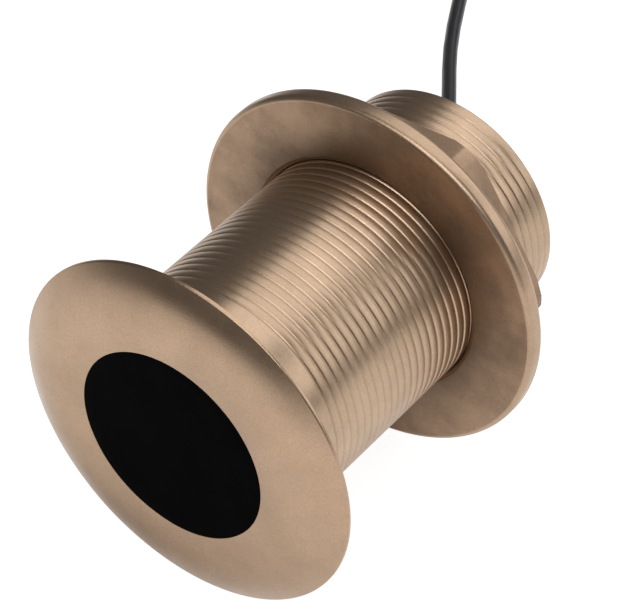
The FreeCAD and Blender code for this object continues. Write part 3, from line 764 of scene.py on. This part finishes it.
def make_tie(number, angle):
    """A woven strap round the coil's section, with rounded corners."""
    node = "coil_tie_%d" % number
    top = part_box(node)[1][2] - TIE_WALL
    bottom = TIE_WALL
    middle = ((TIE_INSIDE + TIE_OUTSIDE) / 2, (bottom + top) / 2)
    half = ((TIE_OUTSIDE - TIE_INSIDE) / 2, (top - bottom) / 2)
    place = (Matrix.Translation((*COIL_CENTRE, 0))
             @ Matrix.Rotation(math.radians(angle), 4, "Z"))
    bm = bmesh.new()
    rings = []
    for corner, (side, up) in enumerate(TIE_CORNERS):
        centre = (middle[0] + side * (half[0] - TIE_ROUND), middle[1] + up * (half[1] - TIE_ROUND))
        for step in range(TIE_CORNER_STEPS + 1):
            turn = math.radians(90 * corner + 90 * step / TIE_CORNER_STEPS)
            ring = []
            for across, part in TIE_SECTION:
                spread = TIE_ROUND + TIE_WALL * part
                spot = Vector((centre[0] + math.cos(turn) * spread, TIE_HALF_WIDTH * across,
                               centre[1] + math.sin(turn) * spread))
                ring.append(bm.verts.new(place @ spot))
            rings.append(ring)
    for ring, after in zip(rings, rings[1:] + rings[:1]):
        for spot in range(len(TIE_SECTION)):
            beside = (spot + 1) % len(TIE_SECTION)
            bm.faces.new((ring[spot], ring[beside], after[beside], after[spot]))
    piece = finish_mesh("strap_%d" % number, bm, STRAP)
    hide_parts(node)
    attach(piece, "transducer")


def from_millimetres(outline):
    """An outline in metres. Its corners keep their third entry."""
    return [(corner[0] * MM, corner[1] * MM) + corner[2:] for corner in outline]


def make_plug_boot():
    """The plug's ribbed tail boot."""
    rows = softened(from_millimetres(TAIL_BACK), TAIL_ROUND)
    for step in range(1, TAIL_RIB_STEPS):
        part = step / TAIL_RIB_STEPS
        along = TAIL_RIB_START + TAIL_RIB_LENGTH * part
        swell = TAIL_START_RADIUS + TAIL_GROWTH * min(1.0, along / TAIL_GROWTH_LENGTH)
        wave = math.cos(math.tau * (part * TAIL_RIBS - 0.5)) - TAIL_RIB_WIDTH
        dip = TAIL_RIB_DEPTH * max(0.0, wave) if part < TAIL_RIB_END else 0.0
        rows.append(((swell - dip) * MM, along * MM))
    rows += softened(from_millimetres(TAIL_FRONT))[1:]
    return swept_rows("plug_tail_boot", rows, PLUG, RUBBER, BOOT_AROUND)


def make_plug_ring():
    """The plug's coupling ring: flutes between two plain bands, and a stepped bore."""
    def band(inset, along, fluted):
        def spot(angle):
            wave = max(0.0, math.cos(RING_FLUTES * angle)) ** 2
            return RING_OUTER - inset * MM - RING_FLUTE_DEPTH * fluted * wave, along
        return spot

    step = RING_START + RING_STEP
    rows = [(RING_NECK, RING_START)]
    rows += [band(inset, RING_START + past * MM, fluted) for inset, past, fluted in RING_BACK]
    rows += [band(inset, RING_END - past * MM, fluted) for inset, past, fluted in RING_FRONT]
    rows += [(RING_BORE + RING_BORE_EDGE, RING_END), (RING_BORE, RING_END - RING_BORE_EDGE)]
    rows += [(RING_BORE, step), (RING_NECK, step)]
    return swept_rows("plug_coupling", rows, PLUG, PLASTIC, RING_AROUND)


def make_plug():
    """The plug: ribbed boot, shell and a fluted coupling ring."""
    boot = make_plug_boot()
    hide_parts("plug_boot")
    rows = softened(from_millimetres(SHELL_OUTLINE), SHELL_ROUND)
    shell = swept_rows("plug_shell_body", rows, PLUG, PLASTIC, SHELL_AROUND)
    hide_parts("plug_shell")
    ring = make_plug_ring()
    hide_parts("coupling_ring")
    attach(boot, "transducer")
    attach(shell, "transducer")
    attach(ring, "plug_ring")
    return [boot, shell, ring]


def dress_nodes():
    """Materials for the frame's own nodes that stay."""
    for name, material in NODE_LOOKS.items():
        node = frame["nodes"][name]
        if not node.material_slots:
            node.data.materials.append(material)
        for place in node.material_slots:
            place.material = material


# The lamps: where each stands, what it faces, its width and height, its radiance.
LAMPS = (
    ("lamp_top", (0.10, 0.75, 1.25), (0.05, 0.05, 0.05), 1.15, 2.1, 1.42),
    ("lamp_right", (1.35, 1.10, 0.85), (0.0, 0.0, 0.08), 1.6, 1.1, 1.35),
    ("lamp_front", (0.35, -0.95, 1.30), (0.02, 0.03, 0.10), 1.7, 0.8, 3.0),
)


def add_lamp(name, centre, target, width, height, radiance):
    """A rectangular soft light of an even radiance, facing a target."""
    light = bpy.data.lights.new(name, "AREA")
    light.shape = "RECTANGLE"
    light.size = width
    light.size_y = height
    light.energy = radiance * math.pi * width * height
    lamp = bpy.data.objects.new(name, light)
    lamp.location = centre
    lamp.rotation_euler = (Vector(target) - Vector(centre)).to_track_quat("-Z", "Y").to_euler()
    lamp.visible_camera = False
    bpy.context.scene.collection.objects.link(lamp)


# The floor: half its side, its own colour and roughness, and the glow that makes
# it white for the camera and pale for the metal, with each one's share of it.
FLOOR_HALF = 6.0
FLOOR_COLOUR = (0.9, 0.9, 0.9, 1.0)
FLOOR_ROUGHNESS = 0.9
FLOOR_GLOW = 1.5
SEEN_SHARE = 0.6
MIRRORED_SHARE = 0.50

# Where the part touches the floor, painted shadow dims what the metal mirrors of the floor's glow,
# and painted shade dims it far from the part: each place's centre, how far it reaches along X and
# Y, and the factor from its edge to its centre.
CONTACT_SHADE_STOPS = ((0.1, 1.0), (0.35, 0.94), (0.6, 0.70), (0.75, 0.50), (0.9, 0.22), (1.0, 0.05))
FAR_SHADE_STOPS = ((0.0, 0.12), (0.2, 0.30), (0.35, 0.45), (0.425, 0.60), (0.515, 0.94), (0.56, 1.0))
FLOOR_SHADES = (
    ((-0.035, -0.085), (0.24, 0.085), CONTACT_SHADE_STOPS),
    ((0.0, 0.030), (0.085, 0.085), CONTACT_SHADE_STOPS),
    ((0.5, 0.5), (2.0, 2.0), FAR_SHADE_STOPS),
)

# The room that lights the part, and the background that the camera sees.
ROOM_COLOUR = (0.13, 0.13, 0.13, 1.0)
BACKGROUND_COLOUR = (1.0, 1.0, 1.0, 1.0)


def floor_shade(nodes, links, centre, reach, stops):
    """A factor of painted shade over the floor, by how near a place is to a centre."""
    mapping = nodes.new("ShaderNodeMapping")
    mapping.inputs["Location"].default_value = (-centre[0] / reach[0], -centre[1] / reach[1], 0.0)
    mapping.inputs["Scale"].default_value = (1 / reach[0], 1 / reach[1], 1.0)
    return near_centre(nodes, links, mapping, stops)


def make_floor():
    """A white floor that keeps the object's shadow, with painted shade in the glow that the metal
    mirrors.
    """
    mesh = bpy.data.meshes.new("floor")
    corners = [(side * FLOOR_HALF, back * FLOOR_HALF, 0)
               for side, back in ((-1, -1), (1, -1), (1, 1), (-1, 1))]
    mesh.from_pydata(corners, [], [(0, 1, 2, 3)])
    floor = bpy.data.objects.new("floor", mesh)
    bpy.context.scene.collection.objects.link(floor)
    material, nodes, links, shader = node_tree("floor_white")
    shader.inputs["Base Color"].default_value = FLOOR_COLOUR
    shader.inputs["Roughness"].default_value = FLOOR_ROUGHNESS
    glow = nodes.new("ShaderNodeEmission")
    glow.inputs["Strength"].default_value = FLOOR_GLOW
    path = nodes.new("ShaderNodeLightPath")
    seen = product(nodes, links, path.outputs["Is Camera Ray"], SEEN_SHARE)
    mirrored = product(nodes, links, path.outputs["Is Glossy Ray"], MIRRORED_SHARE)
    # Painted shadow near the contacts and painted shade far away dim the mirrored glow.
    for centre, reach, stops in FLOOR_SHADES:
        shade = floor_shade(nodes, links, centre, reach, stops)
        mirrored = product(nodes, links, mirrored, shade)
    share = nodes.new("ShaderNodeMath")
    share.use_clamp = True
    links.new(seen, share.inputs[0])
    links.new(mirrored, share.inputs[1])
    mix = nodes.new("ShaderNodeMixShader")
    links.new(share.outputs[0], mix.inputs["Fac"])
    links.new(shader.outputs["BSDF"], mix.inputs[1])
    links.new(glow.outputs["Emission"], mix.inputs[2])
    links.new(mix.outputs["Shader"], nodes["Material Output"].inputs["Surface"])
    mesh.materials.append(material)


def make_world():
    """A dim room with a white background for the camera."""
    world = bpy.data.worlds.new("studio")
    bpy.context.scene.world = world
    world.use_nodes = True
    nodes, links = world.node_tree.nodes, world.node_tree.links
    room = nodes["Background"]
    room.inputs["Color"].default_value = ROOM_COLOUR
    white = nodes.new("ShaderNodeBackground")
    white.inputs["Color"].default_value = BACKGROUND_COLOUR
    path = nodes.new("ShaderNodeLightPath")
    mix = nodes.new("ShaderNodeMixShader")
    links.new(path.outputs["Is Camera Ray"], mix.inputs["Fac"])
    links.new(room.outputs["Background"], mix.inputs[1])
    links.new(white.outputs["Background"], mix.inputs[2])
    links.new(mix.outputs["Shader"], nodes["World Output"].inputs["Surface"])


# The photograph's camera: its angles, where the window's centre lies from it, and
# its lens.
VIEW_AZIMUTH = 36.87
VIEW_ELEVATION = 39.97
FACE_RIGHT, FACE_DOWN, FACE_AHEAD = -47.47 * MM, 47.235 * MM, 971.44 * MM
FOCAL_PIXELS = 2852.0
IMAGE_WIDTH = 620.0
SENSOR_WIDTH = 36.0


def make_camera():
    """The camera at the photograph's place, angle and lens."""
    azimuth, elevation = math.radians(VIEW_AZIMUTH), math.radians(VIEW_ELEVATION)
    right = Vector((math.cos(azimuth), math.sin(azimuth), 0.0))
    level = Vector((-math.sin(azimuth), math.cos(azimuth), 0.0))
    ahead = level * math.cos(elevation) - Vector((0, 0, math.sin(elevation)))
    down = ahead.cross(right)
    data = bpy.data.cameras.new("camera")
    data.sensor_fit = "HORIZONTAL"
    data.sensor_width = SENSOR_WIDTH
    data.lens = FOCAL_PIXELS / IMAGE_WIDTH * SENSOR_WIDTH
    camera = bpy.data.objects.new("camera", data)
    eye = FACE - right * FACE_RIGHT - down * FACE_DOWN - ahead * FACE_AHEAD
    turn = Matrix((right, -down, -ahead)).transposed().to_4x4()
    camera.matrix_world = Matrix.Translation(eye) @ turn
    bpy.context.scene.collection.objects.link(camera)
    bpy.context.scene.camera = camera


make_camera()
make_floor()
make_world()
for lamp_values in LAMPS:
    add_lamp(*lamp_values)
make_housing()
make_window()
make_nut()
make_seal()
relief = make_strain_relief()
for tie_number, tie_angle in enumerate(TIE_ANGLES, start=1):
    make_tie(tie_number, tie_angle)
plug_pieces = make_plug()
make_cord()
dress_nodes()
bpy.context.scene.view_settings.view_transform = "Standard"
